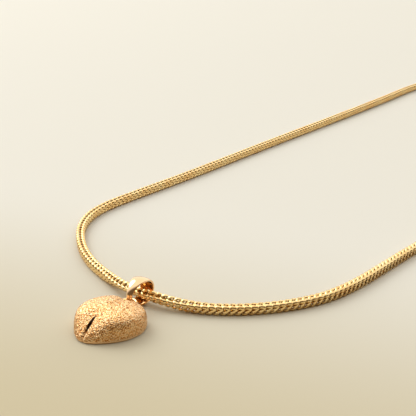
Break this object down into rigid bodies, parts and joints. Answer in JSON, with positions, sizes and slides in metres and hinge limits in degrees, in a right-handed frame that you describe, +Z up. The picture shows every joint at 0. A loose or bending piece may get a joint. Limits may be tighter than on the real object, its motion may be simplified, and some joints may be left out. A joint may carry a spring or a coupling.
{
  "type": "pendant necklace",
  "caption": "Fine gold-coloured necklace: a puffed, frosted heart on a polished loop bail, free on a close-linked chain with a lobster clasp.",
  "frame": {"origin": "on the surface that the necklace lies on, under the middle of the heart's flat back", "axes": "+Y from the heart's tip along the laid loop to the clasp, +Z up out of the surface, +X along the chain where it passes the bail"},
  "size_m": [0.0789, 0.204, 0.0052],
  "materials": {
    "frosted_gold": "rose gold, frosted all over with fine sparkling pits",
    "polished_rose_gold": "polished rose gold",
    "chain_gold": "polished yellow gold",
    "spring_steel": "bare spring strip"
  },
  "bodies": {
    "chain": {"chain": "chain_gold", "left_cap": "chain_gold", "right_cap": "chain_gold", "left_loop": "chain_gold", "right_loop": "chain_gold"},
    "bail": {"bail": "polished_rose_gold"},
    "heart": {"heart_front": "frosted_gold", "heart_back": "polished_rose_gold", "heart_eyelet": "polished_rose_gold"},
    "clasp_ring": {"clasp_ring": "chain_gold"},
    "clasp": {"clasp_body": "chain_gold", "clasp_pin": "chain_gold", "clasp_spring": "spring_steel"},
    "lever": {"clasp_lever": "chain_gold"},
    "catch_ring": {"catch_ring": "chain_gold"}
  },
  "joints": [
    {"name": "bail_swing", "type": "hinge", "parent": "chain", "child": "bail", "pos_m": [-0.0015, 0.01116, 0.00187], "axis": [-1, 0, 0], "range_deg": [0, 180]},
    {"name": "heart_swing", "type": "hinge", "parent": "bail", "child": "heart", "pos_m": [0, 0.00786, 0.002], "axis": [-1, 0, 0], "range_deg": [-30, 60]},
    {"name": "clasp_ring_swing", "type": "hinge", "parent": "chain", "child": "clasp_ring", "pos_m": [0.00625, 0.1953, 0.00115], "axis": [0, -1, 0], "range_deg": [0, 35]},
    {"name": "clasp_swing", "type": "hinge", "parent": "clasp_ring", "child": "clasp", "pos_m": [0.0073, 0.1953, 0.00115], "axis": [0, -1, 0], "range_deg": [0, 35]},
    {"name": "lever_press", "type": "hinge", "parent": "clasp", "child": "lever", "pos_m": [0.0117, 0.19435, 0.00115], "axis": [0, 0, 1], "range_deg": [0, 22], "stiffness_Nm_per_rad": 0.0008, "springref_deg": -11.46},
    {"name": "catch_ring_swing", "type": "hinge", "parent": "chain", "child": "catch_ring", "pos_m": [0.02075, 0.1953, 0.00115], "axis": [0, 1, 0], "range_deg": [0, 31]}
  ]
}
